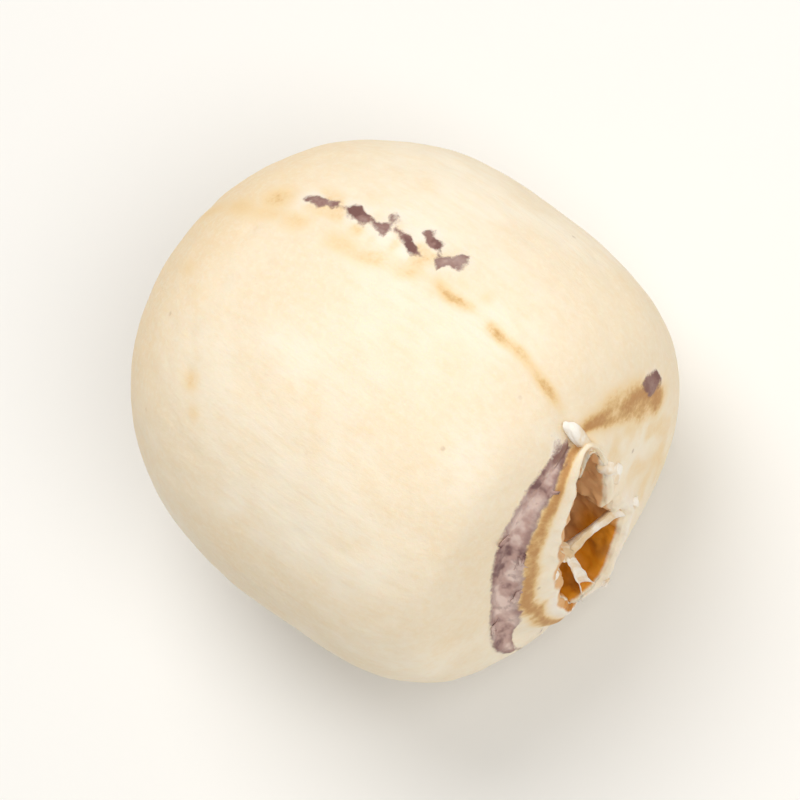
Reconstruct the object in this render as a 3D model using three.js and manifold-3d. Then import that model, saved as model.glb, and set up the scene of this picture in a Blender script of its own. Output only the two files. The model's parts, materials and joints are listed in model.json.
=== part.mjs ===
// Dried, peeled and cored lotus seed, lying on its side.
// Millimetres. +X runs along the seed's own axis to the split tip, +Z is up,
// and the origin is on the flat spot it rests on, below its widest section.
import * as THREE from 'three';
import { mergeVertices } from 'three/addons/utils/BufferGeometryUtils.js';
import Module from 'manifold-3d';

// Body: a barrel-like ovoid, rounder at the base and flatter at the tip.
const BODY_RADIUS = 6.45;
const BASE_REACH = 7.45;
const TIP_REACH = 6.05;
const BASE_FULLNESS = 2.3;
const TIP_FULLNESS = 3.25;
const TIP_LEAN = -0.16;
const OVALITY = 0.012;
const WAVINESS = 0.05;

// Flat spot below, cut this deep into the round.
const FLAT_DEPTH = 0.13;
const AXIS_HEIGHT = BODY_RADIUS - FLAT_DEPTH;

// Seam between the two seed leaves, turned from the top towards +Y.
const SEAM_TURN = THREE.MathUtils.degToRad(28);
const SEAM_DEPTH = 0.04;
const SEAM_HALF_WIDTH = 0.4;
const NOTCH_DEPTH = 0.3;

// Tip: a collar, a sunken ring inside it, a raised lip and a split mouth along the seam.
const SHOULDER_RADIUS = 5.4;
const COLLAR_RADIUS = 4.42;
const COLLAR_DRAW = 0.85;
const COLLAR_DRAW_TURN = THREE.MathUtils.degToRad(-88);
const COLLAR_DRAW_SPREAD = THREE.MathUtils.degToRad(48);
const RING_RADIUS = 3.6;
const RING_DEPTH = 0.32;
const RING_HALF_WIDTH = 0.55;
const RING_DEEP_TURN = THREE.MathUtils.degToRad(-75);
const RING_FADE = 0.85;
const LIP_RADIUS = 1.9;
const LIP_RISE = 0.16;
const LIP_HALF_WIDTH = 0.34;
const MOUTH_RADIUS = 1.6;
const MOUTH_UPPER_REACH = 3.8;
const MOUTH_LOWER_REACH = 2.9;
const MOUTH_NEAR_WIDTH = 1.15;
const MOUTH_FAR_UPPER_WIDTH = 0.75;
const MOUTH_FAR_LOWER_WIDTH = 1.7;

// Torn strips in the mouth, by their turn from the seam.
const STRIPS = [
  { turn: THREE.MathUtils.degToRad(107), halfTurn: 0.2, reach: 0.7 },
  { turn: THREE.MathUtils.degToRad(180), halfTurn: 0.13, reach: 1.5 },
];
const STRIP_DIP = 0.35;

// Channel left by the germ, and the round hole drilled at the base.
const HOLE_RADIUS = 1.2;
const HOLE_DEPTH = 1.6;
const HOLE_CHAMFER = 0.12;
const CHANNEL_RADIUS = 1.35;
const CHANNEL_SWELL = 0.4;
const CHANNEL_OVALITY = 0.14;
const MOUTH_DEPTH = 1.7;

// Facets.
const AROUND = 72;
const BASE_RINGS = 13;
const TIP_RINGS = 8;
const END_RINGS = 10;
const MOUTH_RINGS = 4;
const CHANNEL_RINGS = 8;

const bell = (offset, halfWidth) => Math.exp(-((offset / halfWidth) ** 2));
const smooth = (t) => THREE.MathUtils.smoothstep(t, 0, 1);

// Height of the body's end along the axis at a radius from it.
function endReach(radius, reach, fullness) {
  return reach * (1 - (radius / BODY_RADIUS) ** fullness) ** (1 / fullness);
}

// The tip's face at a radius: the body's end with its sunken ring and raised lip.
function tipFace(radius) {
  const ring = RING_DEPTH * bell(radius - RING_RADIUS, RING_HALF_WIDTH);
  const lip = LIP_RISE * bell(radius - LIP_RADIUS, LIP_HALF_WIDTH);
  return endReach(radius, TIP_REACH, TIP_FULLNESS) - ring + lip;
}

// Radius of the channel along the axis, before the drilled length.
function channelRadius(x) {
  return CHANNEL_RADIUS + CHANNEL_SWELL * bell(x + 0.5, 3.2);
}

// Closed outline of the plain seed: from the drilled hole's rim over the outside, then back down the channel.
function outline() {
  const points = [];
  const rimRadius = HOLE_RADIUS + HOLE_CHAMFER;
  const rimTurn = Math.asin((rimRadius / BODY_RADIUS) ** (BASE_FULLNESS / 2));
  for (let i = 0; i < BASE_RINGS; i += 1) {
    const turn = THREE.MathUtils.lerp(rimTurn, Math.PI / 2, i / BASE_RINGS);
    const radius = BODY_RADIUS * Math.sin(turn) ** (2 / BASE_FULLNESS);
    points.push(new THREE.Vector2(radius, -BASE_REACH * Math.cos(turn) ** (2 / BASE_FULLNESS)));
  }
  const collarTurn = Math.asin((COLLAR_RADIUS / BODY_RADIUS) ** (TIP_FULLNESS / 2));
  for (let i = 0; i < TIP_RINGS; i += 1) {
    const turn = THREE.MathUtils.lerp(Math.PI / 2, collarTurn, i / TIP_RINGS);
    const radius = BODY_RADIUS * Math.sin(turn) ** (2 / TIP_FULLNESS);
    points.push(new THREE.Vector2(radius, TIP_REACH * Math.cos(turn) ** (2 / TIP_FULLNESS)));
  }
  for (let i = 0; i <= END_RINGS; i += 1) {
    const radius = THREE.MathUtils.lerp(COLLAR_RADIUS, MOUTH_RADIUS, i / END_RINGS);
    points.push(new THREE.Vector2(radius, tipFace(radius)));
  }
  const mouthFloor = tipFace(MOUTH_RADIUS) - MOUTH_DEPTH;
  for (let i = 1; i <= MOUTH_RINGS; i += 1) {
    const down = i / MOUTH_RINGS;
    const radius = THREE.MathUtils.lerp(MOUTH_RADIUS - 0.12, channelRadius(mouthFloor), smooth(down));
    points.push(new THREE.Vector2(radius, tipFace(MOUTH_RADIUS) - 0.12 - down * (MOUTH_DEPTH - 0.12)));
  }
  const holeEnd = -endReach(HOLE_RADIUS, BASE_REACH, BASE_FULLNESS);
  const holeFloor = holeEnd + HOLE_DEPTH;
  for (let i = 1; i < CHANNEL_RINGS; i += 1) {
    const x = THREE.MathUtils.lerp(mouthFloor, holeFloor, i / CHANNEL_RINGS);
    points.push(new THREE.Vector2(channelRadius(x), x));
  }
  points.push(new THREE.Vector2(HOLE_RADIUS, holeFloor));
  points.push(new THREE.Vector2(HOLE_RADIUS, holeEnd + HOLE_CHAMFER));
  points.push(points[0].clone());
  return points;
}

// An angle brought between minus and plus half a turn.
function wrapped(angle) {
  return Math.atan2(Math.sin(angle), Math.cos(angle));
}

// The torn strip at a turn from the seam: its share is 1 at a strip's middle and 0 between the strips.
function stripAt(turn) {
  let most = { share: 0, reach: 0 };
  for (const strip of STRIPS) {
    const share = bell(wrapped(turn - strip.turn), strip.halfTurn);
    if (share > most.share) {
      most = { share, reach: strip.reach * share };
    }
  }
  return most;
}

// How far the collar is drawn in towards the axis at a turn from the seam.
function drawAt(turn) {
  return COLLAR_DRAW * bell(wrapped(turn - COLLAR_DRAW_TURN), COLLAR_DRAW_SPREAD);
}

// How much shallower the sunken ring is at a turn from the seam than at its deepest turn.
function ringFillAt(radius, turn) {
  const onEnd = radius <= COLLAR_RADIUS ? 1 : 0;
  const away = smooth((1 - Math.cos(turn - RING_DEEP_TURN)) / 2);
  return onEnd * RING_FADE * away * RING_DEPTH * bell(radius - RING_RADIUS, RING_HALF_WIDTH);
}

// How far the split moves the round mouth's edge at a turn from the seam.
function splitAt(turn) {
  const reach = Math.cos(turn) > 0 ? MOUTH_UPPER_REACH : MOUTH_LOWER_REACH;
  const lower = smooth((1 - Math.cos(turn)) / 2);
  const farWidth = THREE.MathUtils.lerp(MOUTH_FAR_UPPER_WIDTH, MOUTH_FAR_LOWER_WIDTH, lower);
  const halfWidth = Math.sin(turn) < 0 ? MOUTH_NEAR_WIDTH : farWidth;
  return 1 / Math.hypot(Math.cos(turn) / reach, Math.sin(turn) / halfWidth) - MOUTH_RADIUS;
}

// How far the torn edge wanders from the split's own line, strips included.
function raggedAt(turn) {
  return 0.09 * Math.sin(7 * turn + 0.6) + 0.06 * Math.sin(13 * turn + 2) - stripAt(turn).reach;
}

// Moves one point of the channel's plain wall: oval along its length, drawn out to the split at the mouth.
function wallRelief(radius, x, turn) {
  const nearMouth = smooth((x - 1.5) / (TIP_REACH - 2));
  const pastHole = smooth((x + BASE_REACH - HOLE_DEPTH) / 2);
  const oval = CHANNEL_OVALITY * Math.cos(2 * turn) * pastHole * (1 - nearMouth);
  return {
    radius: radius * (1 + oval) + splitAt(turn) * nearMouth + raggedAt(turn) * nearMouth ** 3,
    x: x - STRIP_DIP * stripAt(turn).share * nearMouth,
  };
}

// Moves one point of the plain outside: a little oval and wavy, creased at the seam, split at the mouth.
function skinRelief(radius, x, turn) {
  const onTip = x > 0 ? 1 : 0;
  const intoEnd = onTip * smooth((COLLAR_RADIUS - radius) / (COLLAR_RADIUS - MOUTH_RADIUS));
  const nearCollar = onTip * smooth((BODY_RADIUS - radius) / (BODY_RADIUS - RING_RADIUS));
  const onShoulder = onTip * smooth((SHOULDER_RADIUS - radius) / (SHOULDER_RADIUS - COLLAR_RADIUS));
  const offHole = onTip + (1 - onTip) * smooth((radius - HOLE_RADIUS) / 1.5);
  const sideways = radius / BODY_RADIUS;
  const creaseDepth = THREE.MathUtils.lerp(SEAM_DEPTH, NOTCH_DEPTH, nearCollar) * offHole;
  const crease = creaseDepth * bell(radius * Math.sin(turn), SEAM_HALF_WIDTH);
  const wave = Math.sin(2 * turn + 0.55 * x + 1.1) + 0.6 * Math.sin(3 * turn - 0.4 * x + 2.3);
  const swell = (WAVINESS * wave - OVALITY * BODY_RADIUS * Math.cos(2 * turn)) * offHole;
  const tear = splitAt(turn) * intoEnd + raggedAt(turn) * intoEnd ** 4;
  const drawn = drawAt(turn) * onShoulder * (1 - intoEnd);
  const dip = STRIP_DIP * stripAt(turn).share * intoEnd ** 6;
  return {
    radius: radius + (swell - crease) * sideways ** 2 + tear - drawn,
    x: x - Math.sign(x) * crease * (1 - sideways) - dip + onTip * ringFillAt(radius, turn),
  };
}

// The uneven seed as one closed surface, its axis along +X.
function seedSurface() {
  const points = outline();
  const firstInside = BASE_RINGS + TIP_RINGS + END_RINGS + 1;
  const turned = new THREE.LatheGeometry(points, AROUND);
  const position = turned.getAttribute('position');
  for (let i = 0; i < position.count; i += 1) {
    const ring = i % points.length;
    const around = Math.atan2(-position.getX(i), position.getZ(i));
    const relief = ring >= firstInside && ring < points.length - 1 ? wallRelief : skinRelief;
    const moved = relief(points[ring].x, points[ring].y, around - SEAM_TURN);
    const lean = TIP_LEAN * smooth(moved.x / TIP_REACH);
    position.setXYZ(
      i,
      moved.x,
      moved.radius * Math.sin(around) + lean,
      moved.radius * Math.cos(around) + AXIS_HEIGHT,
    );
  }
  turned.deleteAttribute('normal');
  turned.deleteAttribute('uv');
  return mergeVertices(turned, 1e-4);
}

const wasm = await Module();
wasm.setup();

// A closed geometry as a solid that can be cut.
function solidOf(geometry) {
  return new wasm.Manifold(new wasm.Mesh({
    numProp: 3,
    vertProperties: new Float32Array(geometry.getAttribute('position').array),
    triVerts: new Uint32Array(geometry.index.array),
  }));
}

// Cuts the flat spot on which the seed rests.
function flattened(surface) {
  const below = new THREE.BoxGeometry(4 * BODY_RADIUS, 4 * BODY_RADIUS, BODY_RADIUS);
  below.translate(0, 0, -BODY_RADIUS / 2);
  below.deleteAttribute('normal');
  below.deleteAttribute('uv');
  const cut = solidOf(surface).subtract(solidOf(mergeVertices(below))).getMesh();
  const geometry = new THREE.BufferGeometry();
  geometry.setAttribute('position', new THREE.BufferAttribute(new Float32Array(cut.vertProperties), 3));
  geometry.setIndex(new THREE.BufferAttribute(new Uint32Array(cut.triVerts), 1));
  geometry.computeVertexNormals();
  return geometry;
}

const driedFlesh = new THREE.MeshStandardMaterial({ color: 0xf3e6c8, roughness: 0.72, metalness: 0 });
const seed = new THREE.Mesh(flattened(seedSurface()), driedFlesh);
seed.name = 'lotus_seed';

const part = new THREE.Group();
part.name = 'lotus_seed_part';
part.add(seed);

export default part;
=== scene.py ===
"""Dried, peeled and cored lotus seed on a pale studio floor.

Sizes are in millimetres in the seed's own frame: +X runs along its axis to the split tip, and angles
round the axis count from the top towards +Y. A finished mesh is set down in metres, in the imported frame.
"""
import json
import logging
import math
import random
from dataclasses import dataclass, field
from enum import Enum

import bmesh
import bpy
from mathutils import Matrix, Vector, kdtree, noise

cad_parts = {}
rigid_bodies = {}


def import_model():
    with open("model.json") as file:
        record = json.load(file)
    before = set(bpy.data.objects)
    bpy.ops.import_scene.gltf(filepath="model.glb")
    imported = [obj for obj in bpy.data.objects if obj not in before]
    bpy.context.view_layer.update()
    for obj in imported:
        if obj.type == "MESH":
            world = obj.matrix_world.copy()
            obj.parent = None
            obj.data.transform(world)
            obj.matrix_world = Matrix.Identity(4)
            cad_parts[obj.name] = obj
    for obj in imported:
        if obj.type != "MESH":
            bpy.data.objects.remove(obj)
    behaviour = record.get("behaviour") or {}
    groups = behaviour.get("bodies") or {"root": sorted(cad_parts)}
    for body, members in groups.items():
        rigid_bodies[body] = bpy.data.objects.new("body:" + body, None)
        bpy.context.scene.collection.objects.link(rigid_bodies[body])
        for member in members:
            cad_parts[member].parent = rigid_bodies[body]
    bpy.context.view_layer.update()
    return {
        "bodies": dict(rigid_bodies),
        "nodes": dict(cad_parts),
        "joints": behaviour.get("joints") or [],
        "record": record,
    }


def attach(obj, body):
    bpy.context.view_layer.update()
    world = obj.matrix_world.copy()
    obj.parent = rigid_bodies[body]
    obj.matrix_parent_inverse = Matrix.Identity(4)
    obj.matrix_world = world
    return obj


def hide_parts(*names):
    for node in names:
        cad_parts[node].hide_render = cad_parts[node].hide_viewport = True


LOG = logging.getLogger("lotus_seed")
MM = 0.001
NO_SKIN = -1.0
DAYLIGHT = (1.0, 0.985, 0.96)
Colour = tuple[float, float, float, float]
Triple = tuple[float, float, float]
Socket = bpy.types.NodeSocket
BMesh = bmesh.types.BMesh


def bell(offset: float, half_width: float) -> float:
    """A smooth hump that is 1 at no offset and fades over its half width."""
    return math.exp(-((offset / half_width) ** 2))


def smooth(share: float) -> float:
    """A share held between 0 and 1 and eased at both ends."""
    held = min(max(share, 0.0), 1.0)
    return held * held * (3.0 - 2.0 * held)


def blend(start: float, end: float, share: float) -> float:
    """The value a share of the way from start to end."""
    return start + (end - start) * share


def wrapped(angle: float) -> float:
    """The same angle between minus and plus half a turn."""
    return math.atan2(math.sin(angle), math.cos(angle))


def rough(x: float, y: float, z: float) -> float:
    """Smooth noise between about -1 and 1 at a place given by its coordinates."""
    return noise.noise(Vector((x, y, z)))


def srgb(red: int, green: int, blue: int) -> Colour:
    """A colour given as screen values, as the linear colour that a shader takes.

    Args:
        red: Screen red, 0 to 255.
        green: Screen green, 0 to 255.
        blue: Screen blue, 0 to 255.

    Returns:
        Linear red, green and blue, with full alpha.
    """
    linear = []
    for value in (red, green, blue):
        share = value / 255.0
        linear.append(share / 12.92 if share <= 0.04045 else ((share + 0.055) / 1.055) ** 2.4)
    return (linear[0], linear[1], linear[2], 1.0)


class Zone(Enum):
    """The two sides of the seed's one closed surface."""

    SKIN_SIDE = "outside"
    CHANNEL_SIDE = "channel wall"


@dataclass(frozen=True)
class OutlinePoint:
    """One point of the plain turned outline.

    Attributes:
        radius: Distance from the axis.
        x: Place along the axis.
        zone: The side of the surface it lies on.
    """

    radius: float
    x: float
    zone: Zone = Zone.SKIN_SIDE


@dataclass(frozen=True)
class SeedSpot:
    """One spot of the seed's surface.

    Attributes:
        point: Its point of the plain outline.
        place: Its place on the uneven seed.
        around: Its angle round the axis.
    """

    point: OutlinePoint
    place: Vector
    around: float


@dataclass(frozen=True)
class SeedForm:
    """The seed's sizes in millimetres and the formulas of its main shape."""

    body_radius: float = 6.45
    base_reach: float = 7.45
    tip_reach: float = 6.05
    base_fullness: float = 2.3
    tip_fullness: float = 3.25
    tip_lean: float = -0.16
    ovality: float = 0.012
    waviness: float = 0.05
    flat_depth: float = 0.13
    seam_turn: float = math.radians(28.0)
    seam_depth: float = 0.04
    seam_half_width: float = 0.4
    notch_depth: float = 0.3
    shoulder_radius: float = 5.4
    collar_radius: float = 4.42
    collar_draw: float = 0.85
    collar_draw_turn: float = math.radians(-88.0)
    collar_draw_spread: float = math.radians(48.0)
    ring_radius: float = 3.6
    ring_depth: float = 0.32
    ring_half_width: float = 0.55
    ring_deep_turn: float = math.radians(-75.0)
    ring_fade: float = 0.85
    lip_radius: float = 1.9
    lip_rise: float = 0.16
    lip_half_width: float = 0.34
    mouth_radius: float = 1.6
    mouth_upper_reach: float = 3.8
    mouth_lower_reach: float = 2.9
    mouth_near_width: float = 1.15
    mouth_far_upper_width: float = 0.75
    mouth_far_lower_width: float = 1.7
    mouth_depth: float = 1.7
    hole_radius: float = 1.2
    hole_depth: float = 1.6
    hole_chamfer: float = 0.12
    channel_radius: float = 1.35
    channel_swell: float = 0.4
    channel_middle: float = -0.5
    channel_spread: float = 3.2
    channel_ovality: float = 0.14
    torn_wave: float = 0.09
    torn_fray: float = 0.06

    @property
    def axis_height(self) -> float:
        """Height of the axis above the flat spot."""
        return self.body_radius - self.flat_depth

    def end_reach(self, radius: float, reach: float, fullness: float) -> float:
        """How far from the widest section a rounded end is at a radius, by its reach and its exponent."""
        return reach * (1.0 - (radius / self.body_radius) ** fullness) ** (1.0 / fullness)

    def tip_face(self, radius: float) -> float:
        """The tip's face at a radius, with its sunken ring and raised lip.

        Args:
            radius: Distance from the axis.

        Returns:
            The place along the axis.
        """
        ring = self.ring_depth * bell(radius - self.ring_radius, self.ring_half_width)
        lip = self.lip_rise * bell(radius - self.lip_radius, self.lip_half_width)
        return self.end_reach(radius, self.tip_reach, self.tip_fullness) - ring + lip

    def channel_wall(self, x: float) -> float:
        """Radius of the channel at a place along the axis."""
        return self.channel_radius + self.channel_swell * bell(x - self.channel_middle, self.channel_spread)

    def draw_at(self, turn: float) -> float:
        """How far the collar is drawn in towards the axis at an angle from the seam."""
        return self.collar_draw * bell(wrapped(turn - self.collar_draw_turn), self.collar_draw_spread)

    def ring_fill_at(self, radius: float, turn: float) -> float:
        """How much shallower the sunken ring is at a point than at its deepest turn.

        Args:
            radius: Distance from the axis.
            turn: Angle from the seam.

        Returns:
            The rise along the axis.
        """
        if radius > self.collar_radius:
            return 0.0
        away = smooth((1.0 - math.cos(turn - self.ring_deep_turn)) / 2.0)
        return self.ring_fade * away * self.ring_depth * bell(radius - self.ring_radius, self.ring_half_width)

    def split_at(self, turn: float) -> float:
        """How far the split moves the round mouth's edge.

        Args:
            turn: Angle from the seam.

        Returns:
            The edge's move away from the axis.
        """
        reach = self.mouth_upper_reach if math.cos(turn) > 0.0 else self.mouth_lower_reach
        lower = smooth((1.0 - math.cos(turn)) / 2.0)
        far_width = blend(self.mouth_far_upper_width, self.mouth_far_lower_width, lower)
        half_width = self.mouth_near_width if math.sin(turn) < 0.0 else far_width
        return 1.0 / math.hypot(math.cos(turn) / reach, math.sin(turn) / half_width) - self.mouth_radius

    def ragged_at(self, turn: float) -> float:
        """How far the torn edge wanders from the split's own line."""
        return self.torn_wave * math.sin(7 * turn + 0.6) + self.torn_fray * math.sin(13 * turn + 2)

    def wall_relief(self, radius: float, x: float, turn: float) -> tuple[float, float]:
        """Moves a point of the channel's plain wall to its oval, split place.

        Args:
            radius: Distance from the axis.
            x: Place along the axis.
            turn: Angle from the seam.

        Returns:
            The moved radius and place along the axis.
        """
        near_mouth = smooth((x - 1.5) / (self.tip_reach - 2.0))
        past_hole = smooth((x + self.base_reach - self.hole_depth) / 2.0)
        oval = self.channel_ovality * math.cos(2.0 * turn) * past_hole * (1.0 - near_mouth)
        torn = self.split_at(turn) * near_mouth + self.ragged_at(turn) * near_mouth**3
        return radius * (1.0 + oval) + torn, x

    def skin_relief(self, radius: float, x: float, turn: float) -> tuple[float, float]:
        """Moves a point of the plain outside to its uneven, creased and split place.

        Args:
            radius: Distance from the axis.
            x: Place along the axis.
            turn: Angle from the seam.

        Returns:
            The moved radius and place along the axis.
        """
        on_tip = 1.0 if x > 0.0 else 0.0
        into_end = on_tip * smooth((self.collar_radius - radius) / (self.collar_radius - self.mouth_radius))
        near_collar = on_tip * smooth((self.body_radius - radius) / (self.body_radius - self.ring_radius))
        shoulder_width = self.shoulder_radius - self.collar_radius
        on_shoulder = on_tip * smooth((self.shoulder_radius - radius) / shoulder_width)
        off_hole = on_tip + (1.0 - on_tip) * smooth((radius - self.hole_radius) / 1.5)
        sideways = radius / self.body_radius
        depth = blend(self.seam_depth, self.notch_depth, near_collar) * off_hole
        crease = depth * bell(radius * math.sin(turn), self.seam_half_width)
        wave = math.sin(2.0 * turn + 0.55 * x + 1.1) + 0.6 * math.sin(3.0 * turn - 0.4 * x + 2.3)
        oval = self.ovality * self.body_radius * math.cos(2.0 * turn)
        swell = (self.waviness * wave - oval) * off_hole
        torn = self.split_at(turn) * into_end + self.ragged_at(turn) * into_end**4
        drawn = self.draw_at(turn) * on_shoulder * (1.0 - into_end)
        moved_radius = radius + (swell - crease) * sideways**2 + torn - drawn
        fill = on_tip * self.ring_fill_at(radius, turn)
        return moved_radius, x - math.copysign(crease * (1.0 - sideways), x) + fill

    def place(self, point: OutlinePoint, around: float) -> Vector:
        """The point of the uneven seed that belongs to a point of the plain one.

        Args:
            point: Point of the plain outline.
            around: Angle round the axis from the top towards +Y.

        Returns:
            The place in the seed's own frame, with the axis at height 0.
        """
        relief = self.skin_relief if point.zone is Zone.SKIN_SIDE else self.wall_relief
        radius, x = relief(point.radius, point.x, around - self.seam_turn)
        lean = self.tip_lean * smooth(x / self.tip_reach)
        return Vector((x, radius * math.sin(around) + lean, radius * math.cos(around)))

    def tip_spot(self, radius: float, around: float) -> Vector:
        """The place on the tip's outside that belongs to a point of the plain tip.

        Args:
            radius: Plain distance from the axis.
            around: Angle round the axis.

        Returns:
            The place in the seed's own frame.
        """
        on_end = radius <= self.collar_radius
        x = self.tip_face(radius) if on_end else self.end_reach(radius, self.tip_reach, self.tip_fullness)
        return self.place(OutlinePoint(radius, x), around)

    def tip_frame(self, radius: float, around: float, lift: float) -> Matrix:
        """A frame on the tip's outside: X away from the axis, Y back round it, Z out of the surface.

        Args:
            radius: Plain distance from the axis.
            around: Angle round the axis.
            lift: Height of the frame's origin above the surface.

        Returns:
            The frame as a matrix.
        """
        step = 0.03
        away = (self.tip_spot(radius + step, around) - self.tip_spot(radius - step, around)).normalized()
        onwards = self.tip_spot(radius, around + step) - self.tip_spot(radius, around - step)
        out = onwards.cross(away).normalized()
        turned = Matrix((away, out.cross(away), out)).transposed().to_4x4()
        return Matrix.Translation(self.tip_spot(radius, around) + out * lift) @ turned

    def mouth_spot(self, along: float, across: float, x: float) -> Vector:
        """A spot in the mouth, by its distances along and across the seam.

        Args:
            along: Distance from the axis along the seam, upwards.
            across: Distance from the seam towards +Y.
            x: Place along the axis.

        Returns:
            The place in the seed's own frame.
        """
        turned = (math.sin(self.seam_turn), math.cos(self.seam_turn))
        y = along * turned[0] + across * turned[1] + self.tip_lean
        return Vector((x, y, along * turned[1] - across * turned[0]))


@dataclass(frozen=True)
class SeedOutline:
    """The fine closed outline that is spun into the seed.

    Attributes:
        form: The seed's sizes.
        base_rings: Rings from the drilled hole to the widest section.
        tip_rings: Rings from there to the collar.
        end_rings: Rings from the collar to the mouth's edge.
        mouth_rings: Rings from the mouth's edge to the channel.
        channel_rings: Rings along the channel.
        hole_rings: Rings along the drilled hole.
        crowding: How much closer the rings stand near the widest section, 1 for not at all.
        lip_round: How far the mouth's edge is rounded off.
    """

    form: SeedForm
    base_rings: int = 72
    tip_rings: int = 48
    end_rings: int = 66
    mouth_rings: int = 26
    channel_rings: int = 28
    hole_rings: int = 10
    crowding: float = 1.4
    lip_round: float = 0.12

    def end_turn(self, radius: float, fullness: float) -> float:
        """Turn from the axis at which a rounded end has a radius."""
        return math.asin((radius / self.form.body_radius) ** (fullness / 2.0))

    def end_point(self, turn: float, reach: float, fullness: float) -> OutlinePoint:
        """A point of a rounded end.

        Args:
            turn: Turn from the axis, a quarter turn at the widest section.
            reach: The end's reach along the axis.
            fullness: Exponent of the end's rounding.

        Returns:
            The point on the skin side.
        """
        power = 2.0 / fullness
        radius = self.form.body_radius * math.sin(turn) ** power
        return OutlinePoint(radius, reach * max(math.cos(turn), 0.0) ** power)

    def outside(self) -> list[OutlinePoint]:
        """Points from the drilled hole's rim over the outside to the mouth's edge.

        Returns:
            The outside's points in order.
        """
        form = self.form
        widest = math.pi / 2.0
        rim_turn = self.end_turn(form.hole_radius + form.hole_chamfer, form.base_fullness)
        collar_turn = self.end_turn(form.collar_radius, form.tip_fullness)
        points = []
        for i in range(self.base_rings):
            turn = blend(rim_turn, widest, 1.0 - (1.0 - i / self.base_rings) ** self.crowding)
            points.append(self.end_point(turn, -form.base_reach, form.base_fullness))
        for i in range(self.tip_rings):
            turn = blend(widest, collar_turn, (i / self.tip_rings) ** self.crowding)
            points.append(self.end_point(turn, form.tip_reach, form.tip_fullness))
        for i in range(self.end_rings + 1):
            radius = blend(form.collar_radius, form.mouth_radius, i / self.end_rings)
            points.append(OutlinePoint(radius, form.tip_face(radius)))
        return points

    def inside(self) -> list[OutlinePoint]:
        """Points from the mouth's edge down the channel to the drilled hole's rim.

        Returns:
            The channel's points in order.
        """
        form = self.form
        points = []
        edge = form.tip_face(form.mouth_radius)
        mouth_floor = edge - form.mouth_depth
        for i in range(1, self.mouth_rings + 1):
            down = i / self.mouth_rings
            rounded = form.mouth_radius - self.lip_round * smooth(down * 6.0)
            radius = blend(rounded, form.channel_wall(mouth_floor), smooth(down))
            points.append(OutlinePoint(radius, edge - down * form.mouth_depth, Zone.CHANNEL_SIDE))
        hole_end = -form.end_reach(form.hole_radius, form.base_reach, form.base_fullness)
        hole_floor = hole_end + form.hole_depth
        for i in range(1, self.channel_rings):
            x = blend(mouth_floor, hole_floor, i / self.channel_rings)
            points.append(OutlinePoint(form.channel_wall(x), x, Zone.CHANNEL_SIDE))
        for i in range(self.hole_rings + 1):
            x = blend(hole_floor, hole_end + form.hole_chamfer, i / self.hole_rings)
            points.append(OutlinePoint(form.hole_radius, x, Zone.CHANNEL_SIDE))
        return points


@dataclass(frozen=True)
class SkinDash:
    """A dash of skin left on the body.

    Attributes:
        start: Its end nearer the base, along the axis.
        end: Its end nearer the tip.
        start_degrees: Angle round the axis where it starts.
        end_degrees: Angle round the axis where it ends.
        half_width: Half its width.
    """

    start: float
    end: float
    start_degrees: float
    end_degrees: float
    half_width: float

    def depth(self, x: float, around: float, radius: float) -> float:
        """How far inside the dash a point lies.

        Args:
            x: The point's place along the axis.
            around: Its angle round the axis.
            radius: Its distance from the axis.

        Returns:
            The distance inside the dash's edge, negative outside it.
        """
        share = min(max((x - self.start) / (self.end - self.start), 0.0), 1.0)
        middle = math.radians(blend(self.start_degrees, self.end_degrees, share))
        past_end = x - blend(self.start, self.end, share)
        return self.half_width - math.hypot(radius * wrapped(around - middle), past_end)


@dataclass(frozen=True)
class StainSpot:
    """A soft warm spot on the body.

    Attributes:
        x: Its place along the axis.
        degrees: Angle round the axis.
        size: How far it fades.
        strength: Its strength in the middle, from 0 to 1.
    """

    x: float
    degrees: float
    size: float
    strength: float = 0.36


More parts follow.
